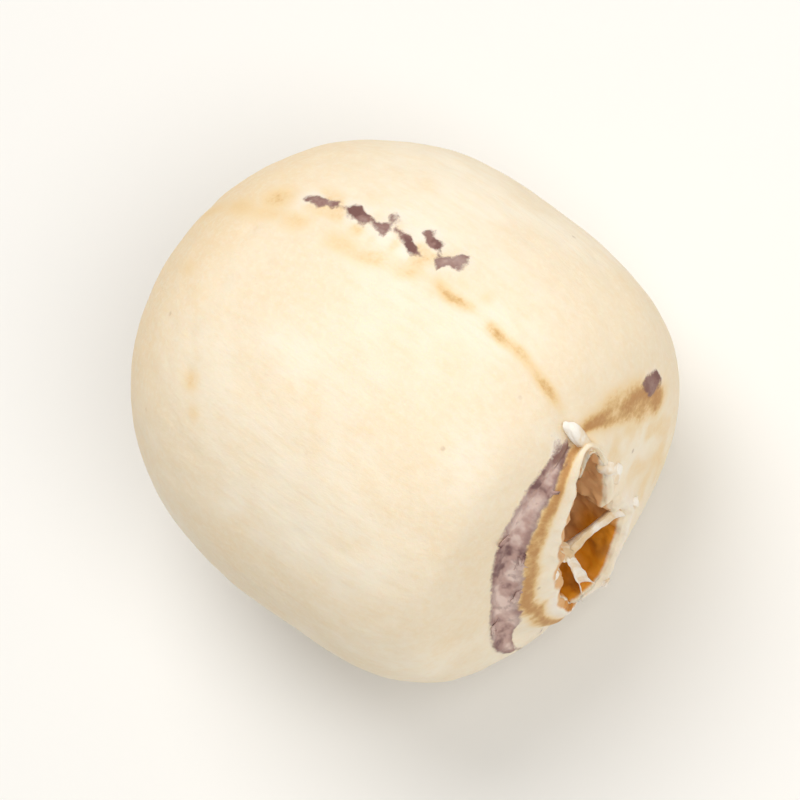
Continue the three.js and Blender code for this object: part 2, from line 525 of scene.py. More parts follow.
@dataclass(frozen=True)
class SkinMarks:
    """Where left skin, warm stain, the painted shade band, the painted lip highlight and pits are on the
    seed, in millimetres and radians.
    """

    form: SeedForm
    tip_zone: float = 3.0
    hole_zone: float = -4.0
    bruise_zone: float = -5.5
    collar_inner: float = 3.02
    collar_overlap: float = 0.02
    collar_start: float = math.radians(25.0)
    collar_end: float = math.radians(-130.0)
    collar_taper: float = math.radians(44.0)
    collar_low: float = math.radians(-68.0)
    collar_low_depth: float = 0.45
    collar_low_spread: float = math.radians(36.0)
    edge_wander: float = 0.16
    edge_fray: float = 0.1
    edge_rise: float = 0.3
    edge_rise_spread: float = 0.36
    patches_start: float = math.radians(168.0)
    patches_end: float = math.radians(-135.0)
    patches_overlap: float = 0.1
    patches_width: float = 0.9
    far_spot_turn: float = math.radians(76.0)
    far_spot_size: float = 0.3
    notch_spot_turn: float = math.radians(20.0)
    notch_spot_size: float = 0.25
    spot_fray: float = 0.2
    bruise_radius: float = 2.2
    bruise_arm: float = 0.15
    bruise_stem: float = 0.14
    dash_fray: float = 0.2
    dash_shrink: float = 0.01
    film_reach: float = 0.4
    film_spot_reach: float = 0.12
    lip_highlight_width: float = 0.26
    seam_share: float = 0.7
    seam_wide: float = 0.45
    seam_narrow: float = 0.24
    blush_share: float = 0.7
    blush_width: float = 0.75
    far_start: float = math.radians(27.0)
    far_line_end: float = math.radians(84.0)
    far_line_inset: float = 0.4
    far_line_width: float = 0.62
    far_face_end: float = math.radians(165.0)
    far_face_share: float = 0.45
    far_face_inset: float = 0.4
    far_face_width: float = 1.4
    shade_band_inset: float = 0.25
    shade_band_width: float = 0.38
    hole_stain: float = 0.5
    hole_stain_offset: float = 0.45
    hole_stain_width: float = 0.3
    wall_overlap: float = 0.15
    pit_count: int = 90
    seed: int = 11
    dashes: tuple[SkinDash, ...] = (
        SkinDash(-3.85, -3.2, 31.0, 32.0, 0.14),
        SkinDash(-2.6, -2.4, 33.0, 32.6, 0.19),
        SkinDash(-2.25, -1.5, 32.4, 32.0, 0.16),
        SkinDash(-1.7, -1.4, 36.4, 35.9, 0.14),
        SkinDash(-1.1, -0.85, 34.1, 33.9, 0.18),
        SkinDash(-0.45, -0.1, 37.6, 35.8, 0.19),
        SkinDash(-0.6, -0.3, 32.3, 31.8, 0.13),
        SkinDash(0.36, 0.62, 33.0, 36.2, 0.24),
        SkinDash(-4.9, -4.3, -151.0, -152.0, 0.16),
        SkinDash(-2.6, -1.4, -152.0, -151.0, 0.15),
        SkinDash(-0.9, 0.4, -150.5, -150.0, 0.2),
        SkinDash(2.4, 3.9, -154.0, -152.0, 0.2),
        SkinDash(-5.2, -3.1, 98.0, 101.0, 0.09),
        SkinDash(-4.4, -1.9, 116.0, 117.0, 0.07),
        SkinDash(-3.4, -0.6, 132.0, 130.0, 0.08),
        SkinDash(-5.6, -4.0, -84.0, -88.0, 0.08),
        SkinDash(-4.7, -2.8, -103.0, -104.0, 0.07),
    )
    stain_spots: tuple[StainSpot, ...] = (
        StainSpot(-3.5, -27.0, 0.42, 0.46),
        StainSpot(-3.0, -33.0, 0.3, 0.42),
        StainSpot(-5.6, -4.0, 0.4),
        StainSpot(-4.7, 28.2, 0.6, 0.56),
        StainSpot(-2.1, 28.7, 0.3, 0.5),
        StainSpot(1.9, 33.0, 0.3),
        StainSpot(-4.6, 150.0, 0.5),
        StainSpot(2.2, -118.0, 0.4),
    )

    def collar(self, radius: float, around: float) -> float:
        """How far inside the skin left round the collar a point of the tip lies.

        Args:
            radius: Plain distance from the axis.
            around: Angle round the axis.

        Returns:
            The distance inside the skin's edge, negative outside it.
        """
        outer = self.collar_outer(around)
        along = radius * min(self.collar_start - around, around - self.collar_end)
        narrowed = (outer - self.collar_inner) * smooth(1.0 - (around - self.collar_end) / self.collar_taper)
        return min(outer - radius, radius - self.collar_edge(around) - narrowed, along)

    def collar_outer(self, around: float) -> float:
        """Plain radius of the collar skin's outer edge at an angle round the axis."""
        drawn_in = self.collar_low_depth * bell(around - self.collar_low, self.collar_low_spread)
        return self.form.collar_radius + self.collar_overlap - drawn_in

    def collar_edge(self, around: float) -> float:
        """Plain radius of the collar skin's torn inner edge.

        Args:
            around: Angle round the axis.

        Returns:
            The radius.
        """
        wander = self.edge_wander * rough(3.1 * around, 0.4, 7.0)
        wander += self.edge_fray * rough(9.0 * around, 3.0, 2.0)
        rise = self.edge_rise * bell(around - self.collar_start, self.edge_rise_spread)
        return self.collar_inner + wander + rise

    def collar_patches(self, radius: float, around: float) -> float:
        """How far inside the broken skin on the hidden side of the collar a point lies.

        Args:
            radius: Plain distance from the axis.
            around: Angle round the axis.

        Returns:
            The distance inside the edge, negative outside it.
        """
        outer = self.form.collar_radius + self.patches_overlap
        across = min(outer - radius, radius - outer + self.patches_width)
        return min(across, 1.2 * rough(4.1 * around, 1.6 * radius, 0.0) - 0.3)

    def collar_spots(self, radius: float, around: float) -> float:
        """How far inside the two dark spots on the collar a point lies.

        Args:
            radius: Plain distance from the axis.
            around: Angle round the axis.

        Returns:
            The distance inside the edge, negative outside it.
        """
        inward = self.form.collar_radius - radius
        far = math.hypot(inward / 0.9, radius * (around - self.far_spot_turn) / 1.7)
        notch = math.hypot((inward - 0.45) / 2.4, radius * (around - self.notch_spot_turn))
        nearer = max(self.far_spot_size - far, self.notch_spot_size - notch)
        return nearer + self.spot_fray * rough(3.0 * radius, 9.0 * around, 2.0)

    def base_mark(self, radius: float, turn: float) -> float:
        """How far inside the small forked bruise by the drilled hole a point lies.

        Args:
            radius: Plain distance from the axis.
            turn: Angle from the seam.

        Returns:
            The distance inside the edge, negative outside it.
        """
        across = radius * math.sin(turn)
        outward = radius - self.bruise_radius
        arm = self.bruise_arm - math.hypot(max(abs(across - 0.35) - 0.5, 0.0), outward - 0.3 * across)
        stem = self.bruise_stem - math.hypot(across + 0.2 * outward, max(abs(outward - 0.5) - 0.45, 0.0))
        broken = 0.3 * rough(2.4 * across, 2.4 * radius, 6.0)
        return max(arm, stem) + broken if math.cos(turn) < 0.0 else NO_SKIN

    def dash_depth(self, spot: SeedSpot) -> float:
        """How far inside the nearest dash a spot lies, before its edge is broken up."""
        return max(dash.depth(spot.place.x, spot.around, spot.point.radius) for dash in self.dashes)

    def skin(self, spot: SeedSpot) -> float:
        """How far inside left skin a spot lies, over the whole seed.

        Args:
            spot: The spot of the surface.

        Returns:
            The distance inside the nearest skin's edge, negative outside it.
        """
        point, around = spot.point, spot.around
        if point.zone is Zone.CHANNEL_SIDE:
            return NO_SKIN
        frayed = self.dash_fray * noise.noise(spot.place * 3.1)
        depths = [NO_SKIN, self.dash_depth(spot) + frayed - self.dash_shrink]
        if point.x > self.tip_zone:
            depths += [self.collar(point.radius, around), self.collar_spots(point.radius, around)]
            if around < self.patches_end or around > self.patches_start:
                depths.append(self.collar_patches(point.radius, around))
        elif point.x < self.bruise_zone:
            depths.append(self.base_mark(point.radius, around - self.form.seam_turn))
        return max(depths)

    def bloom_and_lip_highlight(self, spot: SeedSpot) -> float:
        """Share of the pale bloom round the dashes and spots, whose skin it darkens, and of the painted
        highlight on the torn lip's ridge, stronger on its lower side.

        Args:
            spot: The spot of the surface.

        Returns:
            The share of bloom and painted highlight, from 0 to 1.
        """
        point = spot.point
        if point.zone is Zone.CHANNEL_SIDE:
            return 0.0
        near = smooth(1.0 + self.dash_depth(spot) / self.film_reach)
        bloom = near * blend(0.4, 0.75, smooth(0.7 + noise.noise(spot.place * 1.7)))
        if point.x < self.tip_zone:
            return bloom
        lower = smooth((-0.6 - math.cos(spot.around)) / 0.8 + 1.0)
        # Painted highlight: the lip's ridge by the mouth is whitened, more on its lower side.
        lip = blend(0.25, 1.0, lower) * bell(point.radius - self.form.lip_radius - 0.1, self.lip_highlight_width)
        spots = smooth(1.0 + self.collar_spots(point.radius, spot.around) / self.film_spot_reach)
        return max(bloom, lip, spots)

    def seam_stain(self, spot: SeedSpot) -> float:
        """Strength of the warm line along the seam and of the blush beside it.

        Args:
            spot: The spot of the surface.

        Returns:
            The stain's strength from 0 to 1.
        """
        x = spot.place.x
        turn = spot.around - self.form.seam_turn
        across = spot.point.radius * math.sin(turn)
        wander = 0.12 * rough(1.3 * x, 0.3, 9.0) + 0.5 * smooth((0.8 - x) / 2.5)
        tipmost = smooth((x + 0.4) / 1.2)
        line = bell(across + wander, blend(self.seam_wide, self.seam_narrow, tipmost))
        patchy = smooth(0.72 + 0.8 * rough(1.2 * x, 2.0 * math.cos(turn), 4.0))
        blush = self.blush_share * bell(across - 0.4, self.blush_width) * smooth((x + 4.8) / 1.2)
        blush *= smooth((2.2 - x) / 1.6) * smooth(0.5 + 1.1 * noise.noise(spot.place * 1.9))
        return max(line * blend(0.68, 1.0, tipmost) * patchy * smooth((5.4 - x) / 0.8), blush)

    def tip_stain_and_shade(self, spot: SeedSpot) -> float:
        """Strength of the tan marks on the tip: the far line, the darker band of painted shade in the valley
        inside the skin and the far face.

        Args:
            spot: The spot of the surface, on the tip.

        Returns:
            The strongest of the three.
        """
        radius, around = spot.point.radius, spot.around
        far_side = smooth((around - self.far_start) / math.radians(8.0))
        past_spot = smooth((around - self.far_line_end) / math.radians(14.0))
        patchy = 0.85 + 0.5 * rough(5.0 * around, 2.0 * radius, 3.0)
        line = far_side * (1.0 - 0.85 * past_spot) * patchy
        line *= bell(radius - self.form.collar_radius + self.far_line_inset, self.far_line_width)
        # Painted shade: a darker tan band in the valley just inside the skin's torn edge.
        tan = 0.92 + 0.3 * rough(6.0 * around, 3.0 * radius, 5.0)
        off_skin = radius - self.collar_edge(around) + self.shade_band_inset
        valley_shade_band = (1.0 - far_side) * tan * bell(off_skin, self.shade_band_width)
        clouded = smooth(0.65 + 0.9 * noise.noise(spot.place * 1.6))
        far_end = smooth((self.far_face_end - around) / math.radians(30.0))
        face = self.far_face_share * far_side * far_end * clouded
        face *= bell(radius - self.form.ring_radius + self.far_face_inset, self.far_face_width)
        return max(line, valley_shade_band, face)

    def stain_and_shade(self, spot: SeedSpot) -> float:
        """Strength of the warm stain at a spot, with the painted shade in the valley inside the tip's skin.

        Args:
            spot: The spot of the surface.

        Returns:
            The strength of stain and painted shade from 0 to 1.
        """
        point = spot.point
        if point.zone is Zone.CHANNEL_SIDE:
            return 0.0
        total = self.seam_share * self.seam_stain(spot)
        for warm in self.stain_spots:
            across = point.radius * wrapped(spot.around - math.radians(warm.degrees))
            total = max(total, warm.strength * bell(math.hypot(spot.place.x - warm.x, across), warm.size))
        if point.x > self.tip_zone:
            total = max(total, self.tip_stain_and_shade(spot))
        if point.x < self.hole_zone:
            from_hole = point.radius - self.form.hole_radius - self.hole_stain_offset
            total = max(total, self.hole_stain * bell(from_hole, self.hole_stain_width))
        return min(total, 1.0)

    def wall(self, spot: SeedSpot) -> float:
        """Share of the brown channel wall at a spot, from 0 outside to 1 well inside.

        Args:
            spot: The spot of the surface.

        Returns:
            The share, which on the near side starts on the lip's inner slope.
        """
        form, point = self.form, spot.point
        if point.zone is Zone.SKIN_SIDE:
            if point.x <= self.tip_zone:
                return 0.0
            near_side = smooth(0.5 - 1.5 * math.sin(spot.around - form.seam_turn))
            stained = form.lip_radius + self.wall_overlap - point.radius
            return near_side * smooth(stained / (form.lip_radius - form.mouth_radius))
        from_mouth = form.tip_face(form.mouth_radius) - point.x
        from_hole = point.x + form.end_reach(form.hole_radius, form.base_reach, form.base_fullness)
        return smooth((min(from_mouth, from_hole + 0.1) - 0.02) / 0.22)


@dataclass(frozen=True)
class FleshFinish:
    """Colours and roughness of the dried flesh, its stains and its cored wall."""

    cream: Colour = srgb(243, 226, 197)
    chalk: Colour = srgb(249, 237, 215)
    straw: Colour = srgb(242, 213, 166)
    # Also the colour of the painted highlight on the lip's ridge.
    bloom: Colour = srgb(250, 241, 232)
    # Stain colours, also used for the painted shade band inside the tip's skin.
    stain_and_shade_light: Colour = srgb(240, 206, 146)
    stain_and_shade_dark: Colour = srgb(196, 146, 90)
    # Amber of the lower wall near the mouth, deepened into a painted glow.
    wall_amber_glow: Colour = srgb(218, 140, 22)
    wall_brown: Colour = srgb(226, 178, 126)
    wall_dark: Colour = srgb(150, 94, 44)
    bruise: Colour = srgb(124, 82, 72)
    speck: Colour = srgb(160, 124, 96)
    roughness_low: float = 0.5
    roughness_high: float = 0.74
    glow: float = 0.15
    glow_reach: Triple = (1.0, 0.6, 0.3)
    glow_depth: float = 0.6 * MM
    shine: float = 0.35
    relief: float = 0.06 * MM


@dataclass(frozen=True)
class DrySkinFinish:
    """Colours and roughness of the thin purple-brown skin that is left on the flesh."""

    dark: Colour = srgb(122, 88, 86)
    middle: Colour = srgb(194, 160, 150)
    pale: Colour = srgb(230, 205, 194)
    roughness: float = 0.68
    shine: float = 0.3
    relief: float = 0.05 * MM


@dataclass(frozen=True)
class TornFinish:
    """Colours of freshly torn flesh: near white, a little warm in random patches."""

    pale: Colour = srgb(252, 246, 236)
    warm: Colour = srgb(234, 208, 168)
    roughness_low: float = 0.6
    roughness_high: float = 0.8
    shine: float = 0.3
    relief: float = 0.05 * MM


class NodeBoard:
    """Adds and links shader nodes in one node tree."""

    MIX_SHARE, MIX_FIRST, MIX_SECOND, MIX_COLOUR = 0, 6, 7, 2

    def __init__(self, tree: bpy.types.NodeTree) -> None:
        """Keeps the tree that the nodes go into."""
        self.tree = tree

    def add(self, kind: str, inputs: dict[str | int, object], **settings: object) -> bpy.types.Node:
        """Adds a node, sets its own properties and feeds its inputs.

        Args:
            kind: The node's type.
            inputs: Values or outputs, by the name or number of the input that takes them.
            **settings: Properties by name.

        Returns:
            The new node.
        """
        node = self.tree.nodes.new(kind)
        for name, value in settings.items():
            setattr(node, name, value)
        self.feed(node, inputs)
        return node

    def feed(self, node: bpy.types.Node, inputs: dict[str | int, object]) -> None:
        """Links outputs to a node's inputs, or sets the inputs' values.

        Args:
            node: The node.
            inputs: Values or outputs, by the name or number of the input that takes them.
        """
        for name, value in inputs.items():
            if isinstance(value, Socket):
                self.tree.links.new(value, node.inputs[name])
            else:
                node.inputs[name].default_value = value

    def maths(self, operation: str, first: object, second: object, held: bool = False) -> Socket:
        """A Math node on two values, its result held between 0 and 1 if asked for."""
        node = self.add("ShaderNodeMath", {0: first, 1: second}, operation=operation, use_clamp=held)
        return node.outputs[0]

    def times(self, first: object, second: object) -> Socket:
        """The product of two values."""
        return self.maths("MULTIPLY", first, second)

    def rest(self, share: object) -> Socket:
        """What a share leaves of 1."""
        return self.maths("SUBTRACT", 1.0, share)

    def ease(self, value: object, low: float, high: float) -> Socket:
        """A value eased from 0 at low to 1 at high."""
        inputs = {"Value": value, "From Min": low, "From Max": high}
        return self.add("ShaderNodeMapRange", inputs, interpolation_type="SMOOTHSTEP").outputs["Result"]

    def span(self, value: object, low: float, high: float) -> Socket:
        """A value from 0 to 1 spread evenly between low and high."""
        inputs = {"Value": value, "To Min": low, "To Max": high}
        return self.add("ShaderNodeMapRange", inputs).outputs["Result"]

    def mix(self, share: object, first: object, second: object) -> Socket:
        """Two colours mixed, by the share of the second."""
        inputs = {self.MIX_SHARE: share, self.MIX_FIRST: first, self.MIX_SECOND: second}
        return self.add("ShaderNodeMix", inputs, data_type="RGBA").outputs[self.MIX_COLOUR]

    def tint(self, first: object, second: object, share: object, most: float) -> Socket:
        """Two colours mixed, by a share that counts at most so much."""
        return self.mix(self.times(share, most), first, second)

    def noise(self, where: object, scale: float, detail: float, roughness: float = 0.55) -> Socket:
        """A Noise texture's value from 0 to 1, by its scale, its octaves and the weight of the finer ones."""
        inputs = {"Vector": where, "Scale": scale, "Detail": detail, "Roughness": roughness}
        return self.add("ShaderNodeTexNoise", inputs).outputs["Fac"]

    def scaled(self, where: object, scale: Triple) -> Socket:
        """Coordinates with each axis times its scale."""
        return self.add("ShaderNodeMapping", {"Vector": where, "Scale": scale}).outputs["Vector"]

    def object_mm(self) -> Socket:
        """Object coordinates in millimetres."""
        where = self.add("ShaderNodeTexCoord", {}).outputs["Object"]
        return self.scaled(where, (1.0 / MM, 1.0 / MM, 1.0 / MM))

    def axis(self, where: object, name: str) -> Socket:
        """One coordinate of a place."""
        return self.add("ShaderNodeSeparateXYZ", {0: where}).outputs[name]

    def attribute(self, name: str) -> Socket:
        """A value kept on the mesh's points."""
        return self.add("ShaderNodeAttribute", {}, attribute_name=name).outputs["Fac"]

    def group(self, tree: bpy.types.NodeTree, inputs: dict[str | int, object]) -> bpy.types.Node:
        """A node group's node."""
        return self.add("ShaderNodeGroup", inputs, node_tree=tree)

    def bump(self, height: object, strength: float, depth: float) -> Socket:
        """A Bump node's normal, from a height from 0 to 1 whose full depth is in metres."""
        inputs = {"Height": height, "Strength": strength, "Distance": depth}
        return self.add("ShaderNodeBump", inputs).outputs["Normal"]


class GroupBoard(NodeBoard):
    """A new node group's nodes, with its given inputs and the outputs it puts out."""

    def __init__(self, name: str, inputs: dict[str, str], outputs: dict[str, str]) -> None:
        """Makes the group and its sockets.

        Args:
            name: The group's name.
            inputs: Kinds of socket by the input's name.
            outputs: Kinds of socket by the output's name.
        """
        super().__init__(bpy.data.node_groups.new(name, "ShaderNodeTree"))
        for way, sockets in (("INPUT", inputs), ("OUTPUT", outputs)):
            for socket, kind in sockets.items():
                self.tree.interface.new_socket(socket, in_out=way, socket_type=f"NodeSocket{kind}")
        self.given = self.add("NodeGroupInput", {}).outputs
        self.put = self.add("NodeGroupOutput", {})


class SharedLooks:
    """Node groups that more than one of the seed's materials use."""

    def __init__(self, skin: DrySkinFinish) -> None:
        """Builds the groups once, the mottle in the left skin's colours."""
        self.grain = self.chalk_grain()
        self.mottle = self.skin_mottle(skin)

    def chalk_grain(self) -> bpy.types.NodeTree:
        """The fine chalky grain and the long fibres of dried flesh.

        Returns:
            A group that puts out the grain's tone, the fibres' tone and their height.
        """
        tones = {"Grain": "Float", "Fibre": "Float", "Height": "Float"}
        board = GroupBoard("chalk_grain", {"Place": "Vector"}, tones)
        place = board.given["Place"]
        grain = board.noise(place, 6.0, 4.0, 0.65)
        fibre = board.noise(board.scaled(place, (0.22, 1.0, 1.0)), 4.2, 4.0, 0.65)
        height = board.maths("ADD", board.times(fibre, 0.55), board.times(grain, 0.45))
        board.feed(board.put, {"Grain": grain, "Fibre": fibre, "Height": height})
        return board.tree

    def skin_mottle(self, finish: DrySkinFinish) -> bpy.types.NodeTree:
        """The mottled colour and fine wrinkles of thin dried skin.

        Args:
            finish: The skin's colours.

        Returns:
            A group that puts out the skin's colour and its fine height.
        """
        given = {"Place": "Vector", "Depth": "Float"}
        board = GroupBoard("dry_skin_mottle", given, {"Colour": "Color", "Height": "Float"})
        tall = board.scaled(board.given["Place"], (1.0, 1.0, 0.5))
        mottle = board.noise(tall, 1.6, 3.0, 0.5)
        fleck = board.noise(tall, 5.0, 3.0)
        colour = board.mix(board.ease(mottle, 0.34, 0.46), finish.dark, finish.middle)
        colour = board.mix(board.ease(mottle, 0.46, 0.6), colour, finish.pale)
        colour = board.tint(colour, finish.dark, board.ease(fleck, 0.54, 0.72), 0.4)
        rim = board.rest(board.ease(board.given["Depth"], 0.04, 0.32))
        colour = board.tint(colour, finish.dark, rim, 0.5)
        height = board.maths("ADD", mottle, board.times(fleck, 0.3))
        board.feed(board.put, {"Colour": colour, "Height": height})
        return board.tree


def new_material(name: str) -> tuple[bpy.types.Material, NodeBoard, bpy.types.Node]:
    """A new material with one Principled shader.

    Args:
        name: The material's name.

    Returns:
        The material, its node board and its shader.
    """
    material = bpy.data.materials.new(name)
    material.use_nodes = True
    return material, NodeBoard(material.node_tree), material.node_tree.nodes["Principled BSDF"]


@dataclass(frozen=True)
class FleshMaterial:
    """Builds the seed's main material: flesh with a painted highlight on the lip's ridge, stain with a
    painted shade band, channel wall with a painted glow, and left skin.
    """

    flesh: FleshFinish
    looks: SharedLooks

    def body_colour(self, board: NodeBoard, where: object, grain: bpy.types.Node) -> Socket:
        """Cream flesh with chalky and straw patches, fibres and a few specks.

        Args:
            board: The material's nodes.
            where: Place in millimetres.
            grain: The grain group's node.

        Returns:
            The flesh's colour.
        """
        flesh = self.flesh
        broad = board.ease(board.noise(where, 0.3, 3.0), 0.38, 0.66)
        warm = board.ease(board.noise(where, 0.42, 3.0, 0.6), 0.5, 0.74)
        baseward = board.ease(board.axis(where, "X"), -2.6, -7.0)
        fibre = board.ease(grain.outputs["Fibre"], 0.42, 0.7)
        colour = board.mix(broad, flesh.cream, flesh.chalk)
        for share, most in ((warm, 0.3), (baseward, 0.75), (fibre, 0.22)):
            colour = board.tint(colour, flesh.straw, share, most)
        dusty = board.ease(grain.outputs["Grain"], 0.4, 0.7)
        colour = board.tint(colour, flesh.chalk, dusty, 0.4)
        cells = board.add("ShaderNodeTexVoronoi", {"Vector": where, "Scale": 0.9})
        near = board.rest(board.ease(cells.outputs["Distance"], 0.03, 0.085))
        chosen = board.ease(board.noise(where, 0.55, 2.0), 0.52, 0.62)
        return board.mix(board.times(near, board.times(chosen, 0.4)), colour, flesh.speck)

    def wall_colour(self, board: NodeBoard, where: object) -> Socket:
        """The cored wall: brown above, and amber below near the mouth, where the wall's warm colour is
        deepened into a painted glow of light through the thin flesh, with darker patches.

        Args:
            board: The material's nodes.
            where: Place in millimetres.

        Returns:
            The wall's colour.
        """
        # Painted glow: the lower wall near the mouth turns amber, as if lit through the thin flesh.
        glowing_below = board.ease(board.axis(where, "Z"), 5.5, 4.4)
        outer = board.ease(board.axis(where, "X"), 4.5, 5.2)
        colour = board.mix(board.times(glowing_below, outer), self.flesh.wall_brown, self.flesh.wall_amber_glow)
        deep = board.ease(board.noise(where, 0.9, 3.0), 0.5, 0.72)
        return board.tint(colour, self.flesh.wall_dark, deep, 0.6)

    def build(self) -> bpy.types.Material:
        """Mixes flesh, stain, channel wall and left skin into one surface.

        Returns:
            The seed's material.
        """
        flesh = self.flesh
        material, board, shader = new_material("dried_seed_flesh")
        where = board.object_mm()
        grain = board.group(self.looks.grain, {"Place": where})
        fine = grain.outputs["Grain"]
        # Share of pale bloom, and of the painted highlight on the lip's ridge.
        bloom_and_lip_highlight = board.attribute("bloom_and_lip_highlight")
        colour = board.tint(self.body_colour(board, where, grain), flesh.bloom, bloom_and_lip_highlight, 0.6)
        # Warm stain, with the painted shade band inside the tip's skin, in the stain colours.
        stain_and_shade = board.maths("MULTIPLY", board.attribute("stain_and_shade"), board.span(fine, 0.5, 1.4), held=True)
        warm = board.mix(board.ease(stain_and_shade, 0.35, 0.95), flesh.stain_and_shade_light, flesh.stain_and_shade_dark)
        colour = board.mix(board.ease(stain_and_shade, 0.08, 0.7), colour, warm)
        wall = board.maths("ADD", board.attribute("wall"), board.span(fine, -0.25, 0.25))
        colour = board.mix(board.ease(wall, 0.2, 0.8), colour, self.wall_colour(board, where))
        depth = board.maths("ADD", board.attribute("skin"), board.span(fine, -0.12, 0.12))
        skin = board.ease(depth, -0.06, 0.07)
        mottle = board.group(self.looks.mottle, {"Place": where, "Depth": depth})
        rind = board.tint(mottle.outputs["Colour"], flesh.bruise, bloom_and_lip_highlight, 0.7)
        crust = board.times(mottle.outputs["Height"], board.times(skin, 1.1))
        height = board.maths("ADD", grain.outputs["Height"], crust)
        board.feed(shader, {
            "Base Color": board.mix(skin, colour, rind),
            "Roughness": board.span(fine, flesh.roughness_low, flesh.roughness_high),
            "Normal": board.bump(height, 0.5, flesh.relief),
            "Subsurface Weight": flesh.glow,
            "Subsurface Radius": flesh.glow_reach,
            "Subsurface Scale": flesh.glow_depth,
            "Specular IOR Level": flesh.shine,
        })
        return material


@dataclass(frozen=True)
class TornMaterial:
    """Builds the near-white material of torn strips and chips."""

    finish: TornFinish
    looks: SharedLooks

    def build(self) -> bpy.types.Material:
        """Pale torn flesh with the same grain as the seed.

        Returns:
            The material.
        """
        finish = self.finish
        material, board, shader = new_material("torn_flesh")
        where = board.object_mm()
        grain = board.group(self.looks.grain, {"Place": where})
        tone = board.ease(board.noise(where, 1.6, 3.0), 0.4, 0.62)
        board.feed(shader, {
            "Base Color": board.mix(tone, finish.pale, finish.warm),
            "Roughness": board.span(grain.outputs["Grain"], finish.roughness_low, finish.roughness_high),
            "Normal": board.bump(grain.outputs["Height"], 0.6, finish.relief),
            "Specular IOR Level": finish.shine,
        })
        return material


@dataclass(frozen=True)
class FlakeMaterial:
    """Builds the material of loose skin flakes."""

    finish: DrySkinFinish
    looks: SharedLooks
    depth: float = 0.2

    def build(self) -> bpy.types.Material:
        """Thin mottled skin, as it looks well inside its edge.

        Returns:
            The material.
        """
        material, board, shader = new_material("dry_skin_flake")
        mottle = board.group(self.looks.mottle, {"Place": board.object_mm(), "Depth": self.depth})
        board.feed(shader, {
            "Base Color": mottle.outputs["Colour"],
            "Normal": board.bump(mottle.outputs["Height"], 0.6, self.finish.relief),
            "Roughness": self.finish.roughness,
            "Specular IOR Level": self.finish.shine,
        })
        return material


def thicken(bm: BMesh, verts: list[bmesh.types.BMVert], thickness: float) -> None:
    """Gives the sheet that some points make its thickness."""
    faces = list({face for vert in verts for face in vert.link_faces})
    bmesh.ops.solidify(bm, geom=faces, thickness=thickness)


def set_down(bm: BMesh, name: str, form: SeedForm, material: bpy.types.Material) -> bpy.types.Object:
    """Turns a finished bmesh in the seed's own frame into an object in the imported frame.

    Args:
        bm: The finished bmesh, in millimetres with the axis at height 0.
        name: The piece's name.
        form: The seed's sizes.
        material: The piece's material.

    Returns:
        The object, riding on the seed's body.
    """
    bmesh.ops.translate(bm, verts=bm.verts, vec=(0.0, 0.0, form.axis_height))
    bmesh.ops.scale(bm, verts=bm.verts, vec=(MM, MM, MM))
    bmesh.ops.recalc_face_normals(bm, faces=bm.faces)
    for face in bm.faces:
        face.smooth = True
    mesh = bpy.data.meshes.new(name)
    bm.to_mesh(mesh)
    bm.free()
    mesh.materials.append(material)
    piece = bpy.data.objects.new(name, mesh)
    bpy.context.scene.collection.objects.link(piece)
    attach(piece, "root")
    LOG.info("%s: %d faces", name, len(mesh.polygons))
    return piece


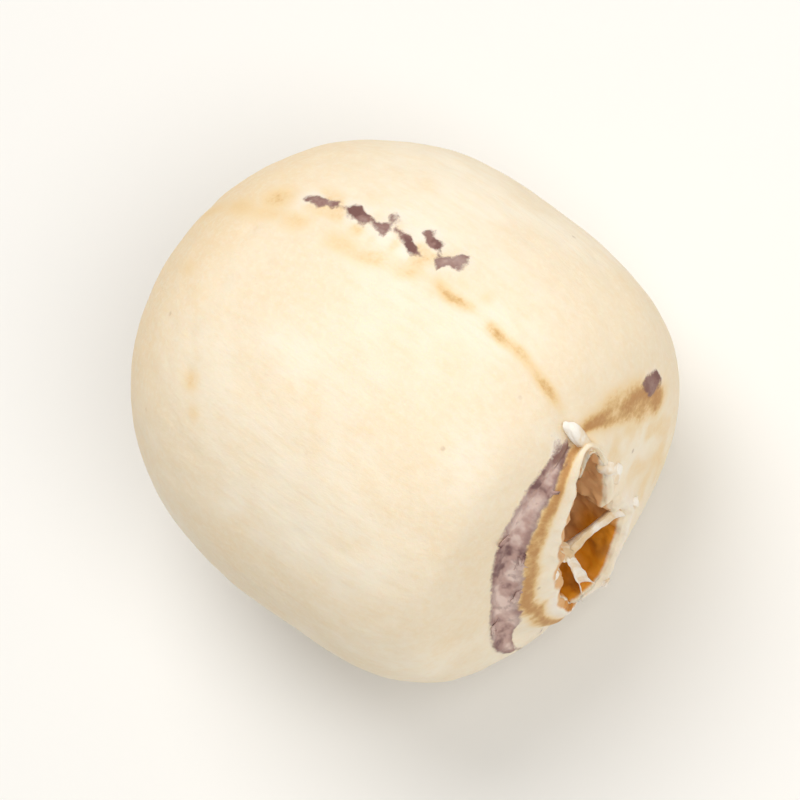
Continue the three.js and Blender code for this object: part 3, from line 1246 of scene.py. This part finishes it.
@dataclass
class SeedBody:
    """The whole seed as one fine closed mesh with its marks on it."""

    form: SeedForm
    outline: SeedOutline
    marks: SkinMarks
    material: bpy.types.Material
    steps_around: int = 320
    lump: float = 0.035
    wrinkle: float = 0.012
    skin_thickness: float = 0.045
    skin_fray: float = 0.12
    skin_slope: float = 0.15
    tear: float = 0.09
    tear_zone: float = 4.0
    tear_reach: float = 0.45
    pit_sizes: tuple[float, float] = (0.12, 0.3)
    pit_depths: tuple[float, float] = (0.015, 0.05)
    points: list[OutlinePoint] = field(default_factory=list)

    def spun(self) -> BMesh:
        """Spins the plain closed outline round the axis.

        Returns:
            The plain seed, each point with its place in the outline on the layer "ring".
        """
        self.points = self.outline.outside() + self.outline.inside()
        bm = bmesh.new()
        ring = bm.verts.layers.int.new("ring")
        line = [bm.verts.new((point.x, 0.0, point.radius)) for point in self.points]
        for i, vert in enumerate(line):
            vert[ring] = i
        edges = [bm.edges.new((line[i - 1], line[i])) for i in range(len(line))]
        bmesh.ops.spin(bm, geom=line + edges, cent=(0.0, 0.0, 0.0), axis=(1.0, 0.0, 0.0),
                       angle=math.tau, steps=self.steps_around, use_merge=True)
        return bm

    def shape(self, bm: BMesh) -> None:
        """Gives every point its place on the uneven seed, its marks and its fine relief.

        Args:
            bm: The plain spun seed.
        """
        ring = bm.verts.layers.int["ring"]
        marks = {
            "skin": self.marks.skin,
            "stain_and_shade": self.marks.stain_and_shade,
            "bloom_and_lip_highlight": self.marks.bloom_and_lip_highlight,
            "wall": self.marks.wall,
        }
        layers = {name: bm.verts.layers.float.new(name) for name in marks}
        for vert in bm.verts:
            point = self.points[vert[ring]]
            around = math.atan2(vert.co.y, vert.co.z)
            vert.co = self.form.place(point, around)
            spot = SeedSpot(point, vert.co, around)
            for name, mark in marks.items():
                vert[layers[name]] = mark(spot)
        bmesh.ops.recalc_face_normals(bm, faces=bm.faces)
        bm.normal_update()
        skin = layers["skin"]
        heights = [self.fine_height(vert.co, self.points[vert[ring]], vert[skin]) for vert in bm.verts]
        for vert, height in zip(bm.verts, heights):
            vert.co += vert.normal * height

    def fine_height(self, place: Vector, point: OutlinePoint, skin_depth: float) -> float:
        """Fine relief at one point: lumps, long wrinkles, the skin's thickness and torn edges.

        Args:
            place: The point's place.
            point: Its point of the plain outline.
            skin_depth: How far inside left skin it lies.

        Returns:
            How far the surface stands out there.
        """
        height = self.lump * noise.noise(place * 0.55) + 0.4 * self.lump * noise.noise(place * 1.4)
        height += self.wrinkle * rough(place.x * 0.5, place.y * 2.2, place.z * 2.2)
        ragged = self.skin_fray * noise.noise(place * 5.0)
        height += self.skin_thickness * smooth((skin_depth + ragged) / self.skin_slope + 0.3)
        if point.x <= self.tear_zone:
            return height
        near_edge = bell(point.radius - self.form.mouth_radius, self.tear_reach)
        return height + self.tear * near_edge * noise.fractal(place * 2.6, 0.9, 2.1, 3)

    def pit(self, bm: BMesh) -> None:
        """Presses small pits into the outside at seeded places.

        Args:
            bm: The shaped seed.
        """
        draw = random.Random(self.marks.seed)
        verts = list(bm.verts)
        tree = kdtree.KDTree(len(verts))
        for i, vert in enumerate(verts):
            tree.insert(vert.co, i)
        tree.balance()
        beyond = 1.1 * self.form.body_radius
        for _ in range(self.marks.pit_count):
            x = draw.uniform(-0.9, 0.8) * self.form.base_reach
            around = draw.uniform(-math.pi, math.pi)
            size = draw.uniform(*self.pit_sizes)
            deep = draw.uniform(*self.pit_depths)
            centre = tree.find(Vector((x, beyond * math.sin(around), beyond * math.cos(around))))[0]
            for _, i, far in tree.find_range(centre, 2.2 * size):
                verts[i].co -= verts[i].normal * deep * bell(far, size)

    def flatten(self, bm: BMesh) -> None:
        """Cuts the flat spot that the seed rests on and closes it.

        Args:
            bm: The shaped seed, its axis at height 0.
        """
        everything = list(bm.verts) + list(bm.edges) + list(bm.faces)
        spot = (0.0, 0.0, -self.form.axis_height)
        cut = bmesh.ops.bisect_plane(
            bm, geom=everything, dist=1e-6, plane_co=spot, plane_no=(0.0, 0.0, -1.0), clear_outer=True
        )
        rim = [item for item in cut["geom_cut"] if isinstance(item, bmesh.types.BMEdge)]
        bmesh.ops.holes_fill(bm, edges=rim, sides=0)

    def build(self) -> bpy.types.Object:
        """Makes the seed in place of its solid.

        Returns:
            The seed's object.
        """
        bm = self.spun()
        self.shape(bm)
        self.pit(bm)
        self.flatten(bm)
        seed = set_down(bm, "seed_flesh", self.form, self.material)
        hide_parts("lotus_seed")
        return seed


@dataclass(frozen=True)
class StripPath:
    """A torn strip's bent path across the mouth: start, middle and end as along, across and x.

    Attributes:
        start: Where it leaves the flesh.
        middle: The point that bends it.
        end: Where it meets the flesh again.
        width: Its width at the ends.
    """

    start: Triple
    middle: Triple
    end: Triple
    width: float


@dataclass(frozen=True)
class Chip:
    """A small chip of torn flesh on the tip.

    Attributes:
        radius: Plain distance from the axis.
        degrees: Angle round the axis.
        length: Its length.
        width: Its width.
        height: Its thickness.
        spin: How far its length is turned from the way off the axis, in degrees.
        tilt: How far its inner end is tipped up from the surface, in degrees.
    """

    radius: float
    degrees: float
    length: float
    width: float
    height: float
    spin: float
    tilt: float = 0.0


@dataclass(frozen=True)
class TornFlesh:
    """Torn white strips across the mouth and small chips round it."""

    form: SeedForm
    material: bpy.types.Material
    thickness: float = 0.09
    strip_cells: tuple[int, int] = (28, 6)
    strip_waist: float = 0.55
    unevenness: float = 0.5
    strips: tuple[StripPath, ...] = (
        StripPath((1.0, -1.15, 6.02), (-1.1, -0.2, 5.75), (-3.0, 0.3, 5.9), 0.5),
        StripPath((-0.2, -0.5, 5.75), (-0.2, 0.5, 5.85), (-0.3, 1.6, 5.95), 0.6),
    )
    chips: tuple[Chip, ...] = (
        Chip(4.45, 28.2, 1.6, 0.42, 0.3, 20.0, 22.0),
        Chip(1.8, 41.0, 0.6, 0.42, 0.3, 70.0),
        Chip(2.35, 62.0, 0.6, 0.46, 0.26, 10.0),
        Chip(2.1, 132.0, 0.34, 0.26, 0.18, 40.0),
        Chip(1.75, -62.0, 0.34, 0.2, 0.14, 80.0),
        Chip(2.0, -168.0, 0.4, 0.24, 0.16, 30.0),
    )

    def add_strip(self, bm: BMesh, path: StripPath) -> None:
        """Bends a ragged flat strip along its path.

        Args:
            bm: The bmesh that takes the strip.
            path: The strip's path.
        """
        corners = [self.form.mouth_spot(*spot) for spot in (path.start, path.middle, path.end)]
        long, wide = self.strip_cells
        made = bmesh.ops.create_grid(bm, x_segments=long, y_segments=wide, size=0.5)["verts"]
        for vert in made:
            share = vert.co.x + 0.5
            side = vert.co.y
            spine = corners[0].lerp(corners[1], share).lerp(corners[1].lerp(corners[2], share), share)
            heading = (corners[1] - corners[0]).lerp(corners[2] - corners[1], share).normalized()
            over = heading.cross(Vector((1.0, 0.0, 0.0))).normalized()
            waist = blend(1.0, self.strip_waist, math.sin(math.pi * share))
            ragged = 1.0 + self.unevenness * rough(9.0 * share, 2.0 * side, path.width)
            cup = Vector((0.5 * path.width * (4.0 * side * side - 0.5), 0.0, 0.0))
            vert.co = spine + over * side * path.width * waist * ragged + cup * waist
        thicken(bm, made, self.thickness)

    def add_chip(self, bm: BMesh, chip: Chip) -> None:
        """Sets a small uneven chip on the tip's surface.

        Args:
            bm: The bmesh that takes the chip.
            chip: The chip's place and sizes.
        """
        tilt = math.radians(chip.tilt)
        lift = 0.4 * chip.length * math.sin(tilt)
        frame = self.form.tip_frame(chip.radius, math.radians(chip.degrees), lift)
        made = bmesh.ops.create_icosphere(bm, subdivisions=3, radius=0.5)["verts"]
        for vert in made:
            where = vert.co * 2.6 + Vector((chip.degrees, chip.radius, 0.0))
            vert.co *= 1.0 + self.unevenness * noise.noise(where)
        turned = frame @ Matrix.Rotation(math.radians(chip.spin), 4, "Z") @ Matrix.Rotation(tilt, 4, "Y")
        sized = Matrix.Diagonal((chip.length, chip.width, chip.height, 1.0))
        bmesh.ops.transform(bm, matrix=turned @ sized, verts=made)

    def build(self) -> bpy.types.Object:
        """Makes the strips and chips as one piece.

        Returns:
            The piece's object.
        """
        bm = bmesh.new()
        for path in self.strips:
            self.add_strip(bm, path)
        for chip in self.chips:
            self.add_chip(bm, chip)
        return set_down(bm, "torn_flesh", self.form, self.material)


@dataclass(frozen=True)
class SkinFlakes:
    """Small curled flakes of skin along the collar."""

    form: SeedForm
    marks: SkinMarks
    material: bpy.types.Material
    count: int = 9
    thickness: float = 0.03
    lift: float = 0.03
    inset: float = 0.1
    lengths: tuple[float, float] = (0.18, 0.36)
    widths: tuple[float, float] = (0.12, 0.2)
    curls: tuple[float, float] = (0.15, 0.45)
    unevenness: float = 0.6
    seed: int = 5

    def add_flake(self, bm: BMesh, draw: random.Random) -> None:
        """Lays one ragged, curled flake on the skin's edge.

        Args:
            bm: The bmesh that takes the flake.
            draw: The seeded source of its place and size.
        """
        marks = self.marks
        around = draw.uniform(marks.collar_end + marks.collar_taper, marks.collar_start - 0.08)
        inner, outer = marks.collar_edge(around), marks.collar_outer(around)
        edge = draw.choice((inner + self.inset, outer - self.inset))
        length = draw.uniform(*self.lengths)
        width = draw.uniform(*self.widths)
        curl = draw.uniform(*self.curls)
        shift = draw.uniform(0.0, 50.0)
        made = bmesh.ops.create_grid(bm, x_segments=8, y_segments=6, size=0.5)["verts"]
        for vert in made:
            ragged = 1.0 + self.unevenness * noise.noise(vert.co * 3.0 + Vector((shift, 0.0, 0.0)))
            narrowed = 1.0 - 1.4 * vert.co.x * vert.co.x
            curled = curl * length * vert.co.y**2
            vert.co = Vector((vert.co.x * length, vert.co.y * width * narrowed, curled)) * ragged
        frame = self.form.tip_frame(edge, around, self.thickness + self.lift)
        spun = Matrix.Rotation(math.pi / 2.0 + draw.uniform(-0.5, 0.5), 4, "Z")
        bmesh.ops.transform(bm, matrix=frame @ spun, verts=made)
        thicken(bm, made, self.thickness)

    def build(self) -> bpy.types.Object:
        """Makes all the flakes as one piece.

        Returns:
            The piece's object.
        """
        draw = random.Random(self.seed)
        bm = bmesh.new()
        for _ in range(self.count):
            self.add_flake(bm, draw)
        return set_down(bm, "skin_flakes", self.form, self.material)


@dataclass(frozen=True)
class SoftLamp:
    """One soft studio lamp.

    Attributes:
        name: The lamp's name.
        place: Where it hangs, in metres.
        size: Its width in metres.
        power: Its power in watts.
        tint: Its colour.
    """

    name: str
    place: Triple
    size: float
    power: float
    tint: Triple = DAYLIGHT


@dataclass(frozen=True)
class Studio:
    """Pale floor, soft lamps and the camera above the seed."""

    centre: Vector
    tilt: float = math.radians(20.0)
    axis_turn: float = math.radians(35.0)
    lens: float = 500.0
    distance: float = 0.292
    sensor: float = 36.0
    nearest: float = 0.002
    floor_size: float = 3.0
    floor_tones: tuple[Colour, Colour] = (srgb(238, 237, 234), srgb(243, 242, 239))
    floor_roughness: float = 0.8
    room_light: float = 0.46
    lamps: tuple[SoftLamp, ...] = (
        SoftLamp("lamp_key", (-0.14, 0.15, 0.45), 0.3, 1.1),
        SoftLamp("lamp_front", (0.22, 0.04, 0.41), 0.25, 0.75),
    )

    def floor(self) -> bpy.types.Object:
        """The pale floor, which isn't part of the seed.

        Returns:
            The floor's object.
        """
        bm = bmesh.new()
        bmesh.ops.create_grid(bm, x_segments=8, y_segments=8, size=self.floor_size / 2.0)
        mesh = bpy.data.meshes.new("studio_floor")
        bm.to_mesh(mesh)
        bm.free()
        material, board, shader = new_material("pale_floor")
        cloud = board.noise(board.object_mm(), 0.05, 2.0)
        tone = board.mix(cloud, *self.floor_tones)
        board.feed(shader, {"Base Color": tone, "Roughness": self.floor_roughness})
        mesh.materials.append(material)
        floor = bpy.data.objects.new("studio_floor", mesh)
        bpy.context.scene.collection.objects.link(floor)
        return floor

    def light(self) -> None:
        """Hangs the lamps and lights the room softly."""
        scene = bpy.context.scene
        for lamp in self.lamps:
            data = bpy.data.lights.new(lamp.name, "AREA")
            data.shape = "DISK"
            data.size = lamp.size
            data.energy = lamp.power
            data.color = lamp.tint
            hung = bpy.data.objects.new(lamp.name, data)
            hung.location = lamp.place
            hung.rotation_euler = (Vector(lamp.place) - self.centre).to_track_quat("Z", "Y").to_euler()
            scene.collection.objects.link(hung)
        world = bpy.data.worlds.new("studio_room")
        world.use_nodes = True
        sky = world.node_tree.nodes["Background"]
        sky.inputs["Color"].default_value = (*DAYLIGHT, 1.0)
        sky.inputs["Strength"].default_value = self.room_light
        scene.world = world
        scene.view_settings.view_transform = "Standard"

    def camera(self) -> bpy.types.Object:
        """Looks down on the seed, its tip to the lower right and a little towards the lens.

        Returns:
            The camera's object.
        """
        back = Vector((math.sin(self.tilt), 0.0, math.cos(self.tilt)))
        along = Vector((math.cos(self.tilt), 0.0, -math.sin(self.tilt)))
        side = Vector((0.0, 1.0, 0.0))
        right = along * math.cos(self.axis_turn) + side * math.sin(self.axis_turn)
        up = side * math.cos(self.axis_turn) - along * math.sin(self.axis_turn)
        turned = Matrix((right, up, back)).transposed().to_4x4()
        data = bpy.data.cameras.new("camera")
        data.lens = self.lens
        data.sensor_width = self.sensor
        data.clip_start = self.nearest
        camera = bpy.data.objects.new("camera", data)
        camera.matrix_world = Matrix.Translation(self.centre + back * self.distance) @ turned
        bpy.context.scene.collection.objects.link(camera)
        bpy.context.scene.camera = camera
        return camera


def main() -> None:
    """Builds the seed and the studio."""
    logging.basicConfig(level=logging.INFO, format="%(message)s")
    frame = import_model()
    LOG.info("frame holds: %s", ", ".join(frame["nodes"]))
    form = SeedForm()
    marks = SkinMarks(form)
    skin = DrySkinFinish()
    looks = SharedLooks(skin)
    SeedBody(form, SeedOutline(form), marks, FleshMaterial(FleshFinish(), looks).build()).build()
    TornFlesh(form, TornMaterial(TornFinish(), looks).build()).build()
    SkinFlakes(form, marks, FlakeMaterial(skin, looks).build()).build()
    studio = Studio(Vector((-0.4 * MM, 0.0, form.axis_height * MM)))
    studio.floor()
    studio.light()
    studio.camera()
    LOG.info("sizes written")


if __name__ == "__main__":
    main()
